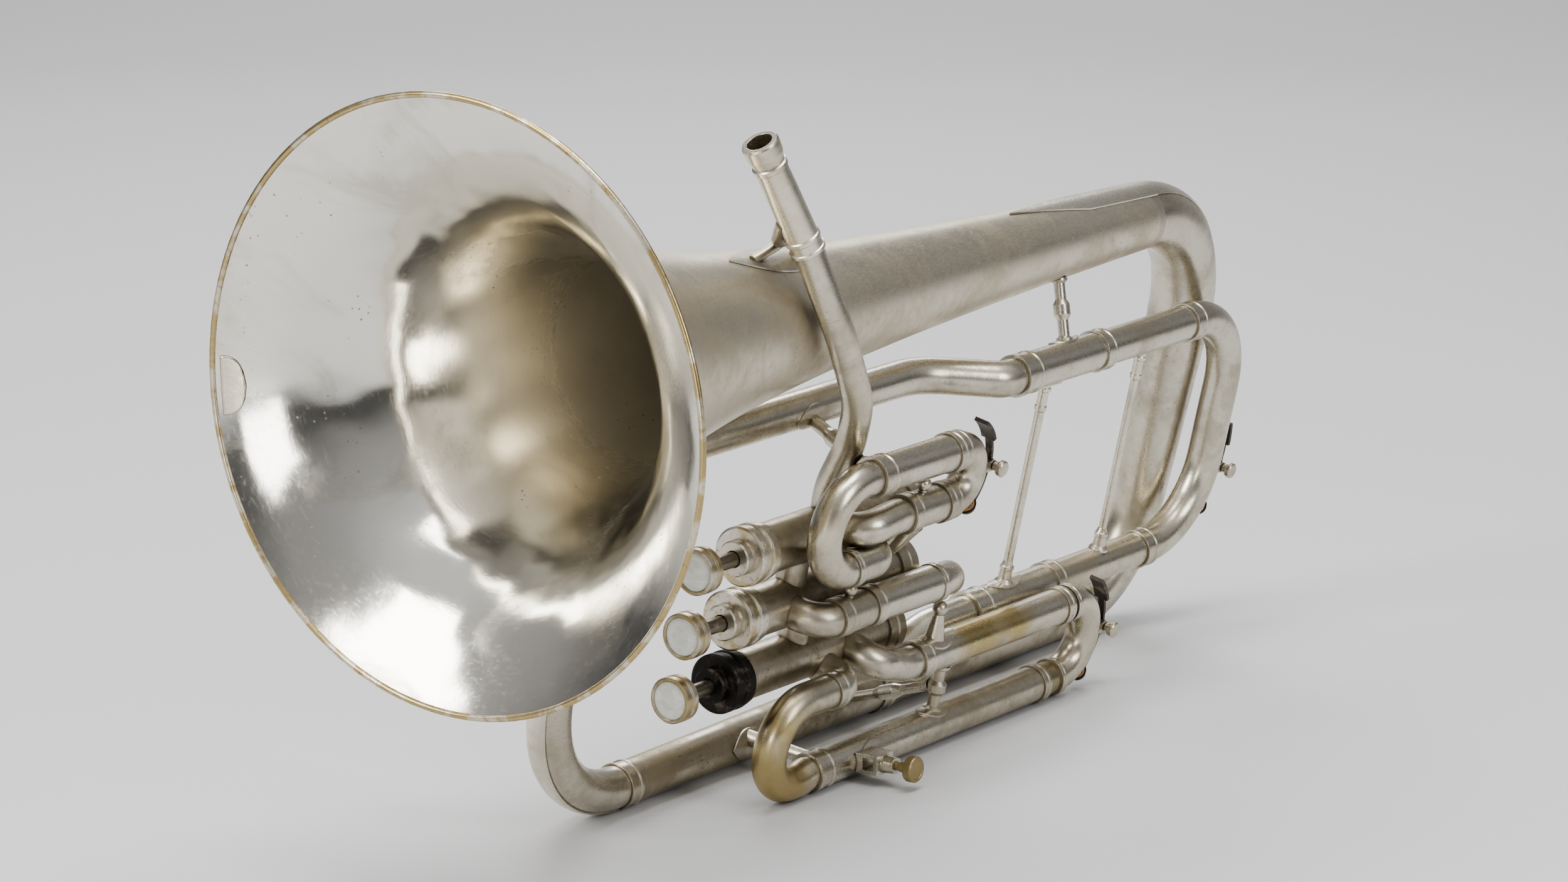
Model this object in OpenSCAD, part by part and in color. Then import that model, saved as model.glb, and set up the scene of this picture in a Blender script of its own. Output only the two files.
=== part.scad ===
/* [Bell] */
// Radius of the bell mouth
bell_r = 140; // [130:1:150]
// Distance over which the flare opens, smaller is a sharper flare
flare_x = 51.5; // [48:0.5:56]
// How quickly the bell narrows
flare_power = 0.8; // [0.78:0.01:0.82]
// Length from the mouth to the bottom bow
bell_len = 565; // [560:1:566]
// Thickness of the bell and large tubing sheet
sheet = 0.9; // [0.7:0.1:1.2]

/* [Main tubing] */
// Height from the return tube up to the bell axis at the bottom bow
bottom_drop = 229.6; // [229:0.1:230]
// Height from the return tube up to the bell axis at the top bow
top_drop = 232.5; // [232:0.1:233]
// Radius of the bottom bow where it meets the bell
bow_r_big = 17.3; // [17:0.1:18]
// Radius of the bottom bow where it meets the return tube
bow_r_small = 13.6; // [13:0.1:14]
// Radius of the top bow
top_bow_r = 10.6; // [10:0.1:11]
// Radius of the forward tube that leaves the main tuning slide
forward_r = 9.4; // [9:0.1:9.5]

/* [Valves] */
// Distance between neighbouring valves
valve_pitch = 33.3; // [33:0.1:34]
// Radius of a valve casing
casing_r = 12.5; // [12.3:0.1:12.8]
// Radius of a piston
piston_r = 11.2; // [11:0.1:11.3]
// Travel of a piston
stroke = 15; // [12:1:16]

/* [Slides] */
// Outer radius of the valve slides' outer tubes
slide_ro = 9.3; // [9.2:0.1:9.4]
// Outer radius of the valve slides' inner tubes
slide_ri = 8.7; // [8.6:0.05:8.7]
// Outer radius of the main tuning slide's outer tubes
main_ro = 9.95; // [9.9:0.05:10]
// Outer radius of the main tuning slide's inner tubes
main_ri = 9.35; // [9.3:0.05:9.35]
// Running clearance between an inner and an outer slide tube
fit = 0.05; // [0.03:0.01:0.08]

/* [Hidden] */
$fn = 48;
eps = 0.01;
wall = 0.6;
hairline = 0.04;

// The instrument lies on its side and leans towards its valves by this angle
lean = 12.75;
// The standing level, measured square to the floor from the bell axis
floor_drop = 238.5025;
// Middle of the overall length
mid_x = 328.912;
// Middle of the overall depth after leaning
mid_y = 0;

// Return tube, forward tube and the two bows
return_x0 = 185;
return_x1 = 579;
forward_z = -54;
forward_x0 = 176.6;
top_x = 116.6;
top_turn_low = 65;
top_turn_high = 60;
bow_x = 631;
bow_turn_big = 66;
bow_turn_small = bow_x - return_x1;

// Main tuning slide
main_y = -30;
main_z_high = -52.5;
main_z_low = -183;
main_outer_x0 = 425;
main_outer_x1 = 504;
main_leg_x0 = 462;
main_bow_x0 = 592;
main_bow_x = 638.5;
main_turn = 45;
main_stay_x = 545;
main_rod_x = 455;
outlet_r = 8.8;

// Valve cluster: axes run along X
valve_y = -32.5;
valve_z = [-103, -103 - valve_pitch, -103 - 2 * valve_pitch];
cap_x0 = 202;
casing_x0 = 212;
casing_x1 = 338;
bottom_x1 = 348;
bore_r = piston_r + fit;
piston_x0 = 236;
piston_x1 = 306;
spring_x1 = casing_x1;
button_x0 = cap_x0 - 21.5 - stroke;

// Valve slides: planes and legs
slide_y = -58;
s1_z_high = -64.9;
s1_z_low = -91.3;
s1_z_stub = -111.7;
s1_x0 = 266;
s1_x0_low = 300;
s1_x1 = 332.5;
s2_z = -136.8;
s2_back_y = -8;
s2_back_z = -175;
s2_x0 = 256;
s2_x0_back = 312;
s2_x1 = 288;
s2_x1_back = 336;
s3_z_high = -178.4;
s3_z_low = -220.5;
s3_z_stub = -177.7;
s3_x0 = 261;
s3_x_high = 337;
s3_x1_high = 469;
s3_x1_low = 461;

// ---------- shared shapes ----------

function unit(v) = v / norm(v);
function clamp1(v) = max(-1, min(1, v));
function turn(a, b, c) = acos(clamp1(unit(b - a) * unit(c - b)));
function setback(a, b, c, r) = r * tan(turn(a, b, c) / 2);

// Carries +Z to run from a towards b
module aim(a, b) {
    d = unit(b - a);
    translate(a)
        rotate([0, acos(clamp1(d[2])), atan2(d[1], d[0])])
            children();
}

// Solid round bar from a to b
module bar(a, b, r1, r2 = 0) {
    aim(a, b)
        cylinder(h = norm(b - a), r1 = r1, r2 = r2 > 0 ? r2 : r1);
}

// Straight tube from a to b
module tube(a, b, ro, ri, ro2 = 0, ri2 = 0) {
    aim(a, b)
        difference() {
            cylinder(h = norm(b - a), r1 = ro, r2 = ro2 > 0 ? ro2 : ro);
            translate([0, 0, -eps])
                cylinder(h = norm(b - a) + 2 * eps, r1 = ri, r2 = ri2 > 0 ? ri2 : ri);
        }
}

// Arc at corner b of the route a, b, c, with its children's outline drawn along it. gap is the angle
// left free at each end, a hairline where a bend meets the next length of tube
module corner(a, b, c, r, gap = 0) {
    u = unit(b - a);
    v = unit(c - b);
    n = unit(v - (u * v) * u);
    w = cross(-n, u);
    o = b - u * setback(a, b, c, r) + n * r;
    multmatrix([
        [-n[0], u[0], w[0], o[0]],
        [-n[1], u[1], w[1], o[1]],
        [-n[2], u[2], w[2], o[2]],
        [0, 0, 0, 1]])
        rotate([0, 0, gap])
            rotate_extrude(angle = turn(a, b, c) - 2 * gap)
                translate([r, 0])
                    children();
}

module ring_outline(ro, ri) {
    difference() {
        circle(r = ro);
        if (ri > 0)
            circle(r = ri);
    }
}

// Tube along a route of points, rounded at each inner point by the matching turn radius
module pipe(route, turns, ro, ri, gap = 0) {
    last = len(route) - 1;
    for (i = [0 : last - 1]) {
        u = unit(route[i + 1] - route[i]);
        a = i == 0 ? route[0]
            : route[i] + u * setback(route[i - 1], route[i], route[i + 1], turns[i - 1]);
        b = i == last - 1 ? route[last]
            : route[i + 1] - u * setback(route[i], route[i + 1], route[i + 2], turns[i]);
        if (norm(b - a) > 0.05)
            if (ri > 0)
                tube(a, b, ro, ri);
            else
                bar(a, b, ro);
    }
    for (i = [1 : last - 1])
        corner(route[i - 1], route[i], route[i + 1], turns[i - 1], gap)
            ring_outline(ro, ri);
}

// Half-round bend in the XY plane about x, between y = -half and y = half; way 1 bulges to +X, -1 to -X
module half_turn(x, half, way, ro, ri) {
    translate([x, 0, 0])
        rotate([0, 0, -90 * way])
            rotate_extrude(angle = 180)
                translate([half, 0])
                    ring_outline(ro, ri);
}

// Ring around a tube that runs along X, with a raised bead at each end
module ferrule(x, y, z, len, r, ri) {
    translate([x, y, z])
        rotate([0, 90, 0])
            rotate_extrude()
                polygon([[ri, 0], [r, 0], [r, 1.6], [r - 0.5, 2.2], [r - 0.5, len - 2.2],
                    [r, len - 1.6], [r, len], [ri, len]]);
}

// Ferrule over the start of a tube of radius ri, with a lip that grips the thinner tube before it
module lipped_ferrule(x, y, z, len, r, ri, lip_r) {
    translate([x - 3, y, z])
        rotate([0, 90, 0])
            difference() {
                cylinder(h = 3 + eps, r = r);
                translate([0, 0, -1])
                    cylinder(h = 5, r = lip_r);
            }
    ferrule(x, y, z, len, r, ri);
}

// Turned post from a to b with a swelling in the middle and a collar at each end
module turned_post(a, b, r, swell) {
    l = norm(b - a);
    aim(a, b)
        rotate_extrude()
            polygon([[0, 0], [swell, 0], [swell, 1.4], [r, 2.6], [r, l * 0.34], [swell, l * 0.42],
                [swell, l * 0.58], [r, l * 0.66], [r, l - 2.6], [swell, l - 1.4], [swell, l], [0, l]]);
}

// Thin plate that hugs a tube of radius r running along X, cut to a pointed oval. side turns it about X
module saddle_plate(x, y, z, r, len, width, side) {
    translate([x, y, z])
        rotate([side, 0, 0])
            intersection() {
                rotate([0, 90, 0])
                    difference() {
                        cylinder(h = len, r = r + 0.8, center = true);
                        cylinder(h = len + 1, r = r, center = true);
                    }
                linear_extrude(height = r + 2)
                    pointed_oval(len, width);
            }
}

// Oval with a point at each end, len along X
module pointed_oval(len, width) {
    arc_r = (len * len + width * width) / (4 * width);
    intersection() {
        translate([0, arc_r - width / 2])
            circle(r = arc_r, $fn = 96);
        translate([0, width / 2 - arc_r])
            circle(r = arc_r, $fn = 96);
    }
}

// ---------- bell and main tubing ----------

function bell_radius(x) = bell_r * pow(flare_x / (x + flare_x), flare_power) - 0.003 * x;
bell_steps = 30;
function bell_x(i) = bell_len * pow(i / bell_steps, 1.9);

// Shell that follows the bell from grow_in to grow_out beyond its outer surface
module bell_skin(grow_in, grow_out) {
    rotate([0, 90, 0])
        rotate_extrude($fn = 96)
            polygon(concat(
                [for (i = [0 : bell_steps]) [bell_radius(bell_x(i)) + grow_out, bell_x(i)]],
                [for (i = [bell_steps : -1 : 0]) [bell_radius(bell_x(i)) + grow_in, bell_x(i)]]));
}

module bell() {
    color("silver")
        bell_skin(-sheet, 0);
}

module bell_rim_wire() {
    color("darkgoldenrod")
        rotate([0, 90, 0])
            rotate_extrude($fn = 96)
                translate([bell_r - 0.3, 0.2])
                    circle(r = 1.5, $fn = 24);
}

module bottom_bow() {
    color("silver") {
        corner([0, 0, 0], [bow_x, 0, 0], [bow_x, 0, -200], bow_turn_big)
            ring_outline(bow_r_big, bow_r_big - sheet);
        tube([bow_x, 0, -bow_turn_big], [bow_x, 0, bow_turn_small - bottom_drop],
            bow_r_big, bow_r_big - sheet, bow_r_small, bow_r_small - sheet);
        corner([bow_x, 0, 0], [bow_x, 0, -bottom_drop], [0, 0, -bottom_drop], bow_turn_small)
            ring_outline(bow_r_small, bow_r_small - sheet);
    }
}

// Outline of a strip that covers the outer side of a tube, half_angle each way
module strip_outline(r, thick, half_angle) {
    intersection() {
        ring_outline(r + thick, r);
        polygon([[0, 0], [2 * r * cos(half_angle), 2 * r * sin(half_angle)],
            [2 * r * cos(half_angle), -2 * r * sin(half_angle)]]);
    }
}

guard_thick = 0.9;
guard_angle = 30;

module bottom_bow_guard() {
    color("gainsboro") {
        intersection() {
            bell_skin(0, guard_thick);
            linear_extrude(height = 40)
                polygon([[436, 0], [500, -9], [bell_len, -9], [bell_len, 9], [500, 9]]);
        }
        corner([0, 0, 0], [bow_x, 0, 0], [bow_x, 0, -200], bow_turn_big)
            strip_outline(bow_r_big, guard_thick, guard_angle);
        intersection() {
            tube([bow_x, 0, -bow_turn_big], [bow_x, 0, bow_turn_small - bottom_drop],
                bow_r_big + guard_thick, bow_r_big, bow_r_small + guard_thick, bow_r_small);
            translate([bow_x, 0, -bottom_drop])
                linear_extrude(height = bottom_drop)
                    polygon([[0, 0], [30, -17.32], [30, 17.32]]);
        }
        corner([bow_x, 0, 0], [bow_x, 0, -bottom_drop], [0, 0, -bottom_drop], bow_turn_small)
            strip_outline(bow_r_small, guard_thick, guard_angle);
    }
}

module return_tube() {
    color("silver")
        tube([return_x0, 0, -top_drop], [return_x1, 0, -bottom_drop],
            top_bow_r, top_bow_r - sheet, bow_r_small, bow_r_small - sheet);
}

module top_bow() {
    color("silver")
        pipe([[return_x0, 0, -top_drop], [top_x, 0, -top_drop], [top_x, 0, forward_z],
            [forward_x0, 0, forward_z]], [top_turn_low, top_turn_high], top_bow_r, top_bow_r - sheet);
}

module top_bow_guard() {
    color("gainsboro") {
        corner([return_x0, 0, -top_drop], [top_x, 0, -top_drop], [top_x, 0, forward_z], top_turn_low)
            strip_outline(top_bow_r, guard_thick, guard_angle);
        translate([top_x, 0, top_turn_low - top_drop])
            linear_extrude(height = forward_z - top_turn_high - top_turn_low + top_drop)
                rotate(180)
                    strip_outline(top_bow_r, guard_thick, guard_angle);
    }
}

module forward_tube() {
    color("silver")
        pipe([[forward_x0, 0, forward_z], [378, 0, forward_z], [412, main_y, main_z_high],
            [main_outer_x0, main_y, main_z_high]], [40, 12], forward_r, forward_r - 0.7, hairline);
}

module main_outer_tubes() {
    color("silver")
        for (z = [main_z_high, main_z_low]) {
            tube([main_outer_x0, main_y, z], [main_outer_x1, main_y, z], main_ro, main_ri + fit);
            ferrule(main_outer_x1 - 9, main_y, z, 9, main_ro + 1, main_ro);
        }
}

module valve_3_outlet() {
    color("silver")
        difference() {
            pipe([[318, valve_y, valve_z[2]], [318, -28, -193.5], [353, -28, -193.5],
                [390, main_y, main_z_low], [main_outer_x0, main_y, main_z_low]],
                [11, 40, 40], outlet_r, outlet_r - 0.7, hairline);
            bar([300, valve_y, valve_z[2]], [casing_x1, valve_y, valve_z[2]], casing_r);
        }
}

// ---------- mouthpiece receiver and leadpipe ----------

lead = [[187, -10, 101], [217, -28, 49], [233, -45, 9], [256, -47.5, -29], [266, -41, -54],
    [268, valve_y, -80], [269, valve_y, -94]];
receiver_r = 6.3;
receiver_len = norm(lead[1] - lead[0]);

module receiver() {
    color("silver")
        aim(lead[0], lead[1])
            rotate_extrude()
                polygon([[receiver_r, 0], [8.6, 0], [9.2, 1], [9.2, 3], [8.9, 7], [8, 10.5], [7.6, 12],
                    [8.6, 12.6], [8.6, 14.6], [7.9, 15.2], [8.1, 30], [8.1, receiver_len - 9],
                    [8.8, receiver_len - 8.4], [8.8, receiver_len - 6.6], [8.1, receiver_len - 6],
                    [8.1, receiver_len - 2], [8.8, receiver_len - 1.6], [8.8, receiver_len],
                    [receiver_r, receiver_len]]);
}

// Its start is trimmed square to the receiver it is soldered to
module leadpipe() {
    start = lead[1] - 2 * unit(lead[2] - lead[1]);
    color("silver")
        difference() {
            pipe(concat([start], [for (i = [2 : 6]) lead[i]]), [60, 60, 45, 45], 7.5, 6.8, hairline);
            bar(lead[0], lead[1], 9);
            bar([240, valve_y, valve_z[0]], [290, valve_y, valve_z[0]], casing_r);
        }
}

module receiver_bracket() {
    top = lead[0] + 0.62 * (lead[1] - lead[0]);
    color("silver")
        difference() {
            union() {
                intersection() {
                    bell_skin(-0.3, 0.9);
                    translate([228, -5, 0])
                        linear_extrude(height = 60)
                            pointed_oval(80, 22);
                }
                pipe([[247, -6, 33], [236, -8, 45], [214, -12, 48], top + [-2.6, 1, -7.4]],
                    [7, 10], 3, 0, hairline);
                pipe([[206, -6, 38], [222, -8, 44], [227, -12, 52], top + [4.6, 2, -7]],
                    [7, 6], 2.4, 0, hairline);
            }
            bell_skin(-6, 0);
            bar(lead[0], lead[1], 8.1);
        }
}

// ---------- valves ----------

// Where tubing meets each valve: place along the casing, then the side it faces
ports = [
    [[269, 0, 20], [250, 0, -20], [287, -20, -7], [268, -20, 6]],
    [[250, 0, 20], [262, 0, -20], [243, -20, 0], [296, 20, -12]],
    [[262, 0, 20], [279, -20, -7], [299, -20, 1], [318, 4, -20]]];

module valve_casing(i) {
    length = casing_x1 - casing_x0;
    color("silver")
        translate([casing_x0, valve_y, valve_z[i]])
            difference() {
                rotate([0, 90, 0])
                    rotate_extrude()
                        polygon([[bore_r, 0], [casing_r - 0.5, 0], [casing_r - 0.5, 4.5],
                            [casing_r + 1.1, 4.5], [casing_r + 1.1, 7], [casing_r, 7.6],
                            [casing_r, length - 8], [casing_r - 0.5, length - 8],
                            [casing_r - 0.5, length], [bore_r, length]]);
                for (p = ports[i])
                    bar([p[0] - casing_x0, 0, 0], [p[0] - casing_x0, p[1], p[2]], 6.4);
            }
}

module top_cap(i) {
    color(i == 2 ? "dimgray" : "silver")
        translate([cap_x0, valve_y, valve_z[i]])
            rotate([0, 90, 0])
                rotate_extrude()
                    polygon([[4.2, -5], [8.2, -5], [8.8, -4.2], [8.8, -1], [8.2, 0], [13.8, 0],
                        [14.8, 0.8], [14.8, 4.4], [14, 5], [14, 8.4], [14.8, 9], [14.8, 11],
                        [14.2, 11.6], [14.2, 14.4], [casing_r - 0.5, 14.4], [casing_r - 0.5, 10],
                        [4.2, 10]]);
}

module bottom_caps() {
    color("silver")
        for (i = [0 : 2])
            translate([casing_x1 - 7.9, valve_y, valve_z[i]])
                rotate([0, 90, 0])
                    rotate_extrude()
                        polygon([[0, 7.9], [casing_r - 0.5, 7.9], [casing_r - 0.5, 0], [13.9, 0],
                            [13.9, 6], [14.4, 6.6], [14.4, 12], [13.6, 12.8], [11, 13.4], [10.4, 15.4],
                            [4.4, 15.8], [4, 17.9], [0, 17.9]]);
}

module valve_knuckles() {
    color("silver")
        difference() {
            for (i = [0 : 1])
                bar([250 + 12 * i, valve_y, valve_z[i]], [250 + 12 * i, valve_y, valve_z[i + 1]], 7.6);
            for (i = [0 : 2])
                bar([230, valve_y, valve_z[i]], [290, valve_y, valve_z[i]], casing_r);
            for (i = [0 : 1])
                bar([250 + 12 * i, valve_y, valve_z[i]], [250 + 12 * i, valve_y, valve_z[i + 1]], 6.9);
        }
}

module piston(i) {
    color("lightgray")
        translate([piston_x0, valve_y, valve_z[i]])
            rotate([0, 90, 0])
                difference() {
                    rotate_extrude()
                        polygon([[0, button_x0 - piston_x0 + 8], [1.6, button_x0 - piston_x0 + 8],
                            [1.6, button_x0 - piston_x0 + 12], [3.8, button_x0 - piston_x0 + 12],
                            [3.8, -4], [6, -4], [6, 0], [piston_r, 0],
                            [piston_r, piston_x1 - piston_x0], [0, piston_x1 - piston_x0]]);
                    for (k = [0 : 2])
                        translate([0, 0, 14 + 20 * k])
                            rotate([0, 90, 40 + 70 * k])
                                cylinder(h = 40, r = 6.4, center = true);
                }
}

module finger_button(i) {
    color("darkgray")
        translate([button_x0, valve_y, valve_z[i]])
            rotate([0, 90, 0])
                rotate_extrude()
                    polygon([[0, 2.6], [9.2, 2.6], [9.2, 0.6], [9.8, 0.1], [10.6, 0.1], [11.3, 0.9],
                        [11.4, 4], [10.6, 4.6], [10.6, 5.2], [11.4, 6], [11.2, 9], [9.6, 11], [6, 12],
                        [1.65, 12], [1.65, 7.6], [0, 7.6]]);
}

module pearl(i) {
    color("ivory")
        translate([button_x0, valve_y, valve_z[i]])
            rotate([0, 90, 0])
                rotate_extrude()
                    polygon([[0, -0.5], [4.5, -0.3], [7.6, 0.2], [9.15, 0.9], [9.15, 2.6], [0, 2.6]]);
}

// Spring under a piston: a stack of rings, which closes up as the piston goes down
module valve_spring(i) {
    turns = 7;
    gap = (spring_x1 - piston_x1 - 1.2) / (turns - 1);
    color("gray")
        for (k = [0 : turns - 1])
            translate([piston_x1 + 0.6 + k * gap, valve_y, valve_z[i]])
                rotate([0, 90, 0])
                    rotate_extrude($fn = 32)
                        translate([8, 0])
                            circle(r = 0.55, $fn = 16);
}

// ---------- valve slides ----------

crook_r = 8.5;
crook_wall = 0.7;

module casing_cut(i) {
    bar([230, valve_y, valve_z[i]], [330, valve_y, valve_z[i]], casing_r);
}

// Front crook of a slide, bulging to -X from the tube at height z_leg to the one at height z_stub
module front_crook(x_apex, z_leg, z_stub, x_leg) {
    half = abs(z_leg - z_stub) / 2;
    translate([0, slide_y, (z_leg + z_stub) / 2])
        rotate([z_leg > z_stub ? 90 : -90, 0, 0]) {
            half_turn(x_apex + half, half, -1, crook_r, crook_r - crook_wall);
            tube([x_apex + half, half, 0], [x_leg, half, 0], crook_r, crook_r - crook_wall);
        }
}

module slide_1_branches() {
    half = (s1_z_high - s1_z_stub) / 2;
    color("silver")
        difference() {
            union() {
                front_crook(233, s1_z_high, s1_z_stub, s1_x0);
                pipe([[233 + half, slide_y, s1_z_stub], [287, slide_y, s1_z_stub],
                    [287, valve_y - 2.5, s1_z_stub + 4.5]], [9.5], crook_r, crook_r - crook_wall, hairline);
                pipe([[268, valve_y - 8, -99], [268, slide_y, s1_z_low - 2.2], [290, slide_y, s1_z_low],
                    [s1_x0_low, slide_y, s1_z_low]], [10, 12], crook_r, crook_r - crook_wall, hairline);
            }
            bar(lead[5], lead[6], 7.6);
            casing_cut(0);
        }
}

module slide_1_outer_tubes() {
    color("silver") {
        tube([s1_x0, slide_y, s1_z_high], [s1_x1, slide_y, s1_z_high], slide_ro, slide_ri + fit);
        tube([s1_x0_low, slide_y, s1_z_low], [s1_x1, slide_y, s1_z_low], slide_ro, slide_ri + fit);
    }
}

module slide_2_branches() {
    color("silver")
        difference() {
            union() {
                pipe([[243, valve_y, s2_z], [243, slide_y, s2_z], [s2_x0, slide_y, s2_z]],
                    [11], crook_r, crook_r - crook_wall, hairline);
                pipe([[296, valve_y, valve_z[1]], [296, s2_back_y, s2_back_z + 24],
                    [296, s2_back_y, s2_back_z], [s2_x0_back, s2_back_y, s2_back_z]],
                    [10, 10], crook_r, crook_r - crook_wall, hairline);
            }
            casing_cut(1);
        }
}

module slide_2_outer_tubes() {
    color("silver") {
        tube([s2_x0, slide_y, s2_z], [s2_x1, slide_y, s2_z], slide_ro, slide_ri + fit);
        tube([s2_x0_back, s2_back_y, s2_back_z], [s2_x1_back, s2_back_y, s2_back_z],
            slide_ro, slide_ri + fit);
    }
}

module slide_3_branches() {
    sag = 2.2;
    half = (s3_z_stub - s3_z_low + sag) / 2;
    x_turn = 222 + half;
    color("silver")
        difference() {
            union() {
                front_crook(222, s3_z_low - sag, s3_z_stub, x_turn + 1);
                pipe([[x_turn + 1, slide_y, s3_z_low - sag], [x_turn + 5, slide_y, s3_z_low - sag],
                    [s3_x0 - 4, slide_y, s3_z_low], [s3_x0, slide_y, s3_z_low]],
                    [20, 20], crook_r, crook_r - crook_wall, hairline);
                pipe([[x_turn, slide_y, s3_z_stub], [279, slide_y, s3_z_stub],
                    [279, valve_y - 2.5, s3_z_stub + 4.5]], [9], crook_r, crook_r - crook_wall, hairline);
                pipe([[299, valve_y, -167], [299, slide_y, -171], [325, slide_y, s3_z_high],
                    [s3_x_high, slide_y, s3_z_high]], [11, 30], crook_r, crook_r - crook_wall, hairline);
            }
            casing_cut(2);
        }
}

module slide_3_outer_tubes() {
    color("silver") {
        tube([s3_x_high, slide_y, s3_z_high], [s3_x1_high, slide_y, s3_z_high], slide_ro, slide_ri + fit);
        tube([s3_x0, slide_y, s3_z_low], [s3_x1_low, slide_y, s3_z_low], slide_ro, slide_ri + fit);
    }
}

// ---------- water keys ----------

key_rise = 7.8;
key_pivot_r = 1.3;
key_gap = 3.1;
screw_play = 0.02;
nipple_h = 3;
nipple_r = 1.4;
cork_r = 4.4;

// Frame of a water key: the middle of the bow it sits on, turned so that its hinge lies along +X
module key_frame(key) {
    translate([key[0], key[1], key[2]])
        rotate([0, key[5], 0])
            children();
}

// Each key: bow middle x, y, z, turn radius of the bow, tube radius, hinge angle, cup angle, touch angle
key_1 = [337.5, slide_y, (s1_z_high + s1_z_low) / 2, (s1_z_high - s1_z_low) / 2, slide_ri, 0, 49, 58];
key_3 = [476, slide_y, (s3_z_high + s3_z_low) / 2, (s3_z_high - s3_z_low) / 2, slide_ri, 0, 45, 50];
key_main = [593.5, main_y, main_z_low + main_turn, main_turn, main_ri + 0.15, 9.6, 23, 24];

function key_skin(key) = key[3] + key[4];
function key_hinge(key) = key_skin(key) + key_rise;

// Two ears and a drain nipple, soldered to the bow
module key_seat(key) {
    skin = key_skin(key);
    hinge = key_hinge(key);
    key_frame(key) {
        for (side = [-1, 1])
            translate([0, side * key_gap, 0])
                rotate([90, 0, 0])
                    linear_extrude(height = 1.6, center = true)
                        difference() {
                            union() {
                                translate([hinge, 0])
                                    circle(r = 2.7);
                                translate([skin - 1.4, -2.7])
                                    square([key_rise + 1.4, 5.4]);
                            }
                            translate([hinge, 0])
                                circle(r = key_pivot_r + screw_play);
                        }
        rotate([0, key[6], 0])
            translate([skin - 0.5, 0, 0])
                rotate([0, 90, 0])
                    cylinder(h = nipple_h + 0.5, r = 2.6);
    }
}

// Drain hole through the nipple and the wall of the bow
module key_drain(key) {
    key_frame(key)
        rotate([0, key[6], 0])
            translate([key_skin(key) - 4, 0, 0])
                rotate([0, 90, 0])
                    cylinder(h = nipple_h + 5, r = nipple_r);
}

module key_screw(key) {
    key_frame(key)
        translate([key_hinge(key), 0, 0])
            rotate([90, 0, 0])
                rotate_extrude()
                    polygon([[0, -4.6], [key_pivot_r, -4.6], [key_pivot_r, 4.2], [2.4, 4.2], [2.4, 6.5],
                        [3.9, 7.1], [4.2, 8], [4.2, 9.6], [3.6, 10.2], [0, 10.4]]);
}

// Lever with its cup; it hugs the bow on both sides of the hinge
module key_lever(key) {
    skin = key_skin(key);
    hinge = key_hinge(key);
    cup_base = skin + nipple_h + 1;
    color("dimgray")
        key_frame(key) {
            difference() {
                union() {
                    rotate([90, 0, 0])
                        rotate_extrude(angle = -key[6])
                            translate([cup_base + 1.6, -1.7])
                                square([2, 3.4]);
                    translate([hinge, 0, 0])
                        rotate([90, 0, 0])
                            cylinder(h = 4, r = 3, center = true);
                    rotate([90, 0, 0])
                        rotate_extrude(angle = key[7] * 0.62)
                            translate([hinge - 0.9, -1.9])
                                square([1.8, 3.8]);
                    rotate([90, 0, 0])
                        rotate([0, 0, key[7] * 0.5])
                            rotate_extrude(angle = key[7] * 0.5)
                                translate([hinge - 1, -4])
                                    square([2, 8]);
                    rotate([0, key[6], 0])
                        translate([cup_base + 0.2, 0, 0])
                            rotate([0, 90, 0])
                                cylinder(h = 2.6, r1 = 5.4, r2 = 4.4);
                }
                translate([hinge, 0, 0])
                    rotate([90, 0, 0])
                        cylinder(h = 8, r = key_pivot_r + fit, center = true);
                rotate([0, key[6], 0])
                    translate([cup_base - 1, 0, 0])
                        rotate([0, 90, 0])
                            cylinder(h = 2.2, r = cork_r);
            }
        }
}

module key_cork(key) {
    color("peru")
        key_frame(key)
            rotate([0, key[6], 0])
                translate([key_skin(key) + nipple_h + 0.05, 0, 0])
                    rotate([0, 90, 0])
                        cylinder(h = 2.15, r = cork_r);
}

module water_key_1() {
    key_lever(key_1);
}

module water_key_3() {
    key_lever(key_3);
}

module water_key_main() {
    key_lever(key_main);
}

module water_key_cork_1() {
    key_cork(key_1);
}

module water_key_cork_3() {
    key_cork(key_3);
}

module water_key_cork_main() {
    key_cork(key_main);
}

// ---------- moving slides ----------

// Inner tubes and end bow of a slide. Each leg is [y, z, where the inner tube starts]
module slide_bow(a, b, x_out) {
    half = norm([a[0] - b[0], a[1] - b[1]]) / 2;
    translate([0, (a[0] + b[0]) / 2, (a[1] + b[1]) / 2])
        rotate([atan2(b[1] - a[1], b[0] - a[0]), 0, 0]) {
            half_turn(x_out, half, 1, slide_ri, slide_ri - wall);
            tube([a[2], -half, 0], [x_out, -half, 0], slide_ri, slide_ri - wall);
            tube([b[2], half, 0], [x_out, half, 0], slide_ri, slide_ri - wall);
            for (side = [-1, 1])
                ferrule(x_out - 4.4, side * half, 0, 4.4, slide_ri + 1.3, slide_ri);
        }
}

module slide_1_bow() {
    color("silver") {
        difference() {
            union() {
                slide_bow([slide_y, s1_z_high, s1_x0 + 14], [slide_y, s1_z_low, s1_x0_low + 3], key_1[0]);
                key_seat(key_1);
            }
            key_drain(key_1);
        }
        key_screw(key_1);
    }
}

module slide_2_bow() {
    color("silver") {
        slide_bow([slide_y, s2_z, s2_x0 + 2], [s2_back_y, s2_back_z, s2_x0_back + 3], 341);
        tube([s2_x1 + 1, slide_y, s2_z], [337.5, slide_y, s2_z], slide_ro + 0.1, slide_ri - 0.3);
    }
}

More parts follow.
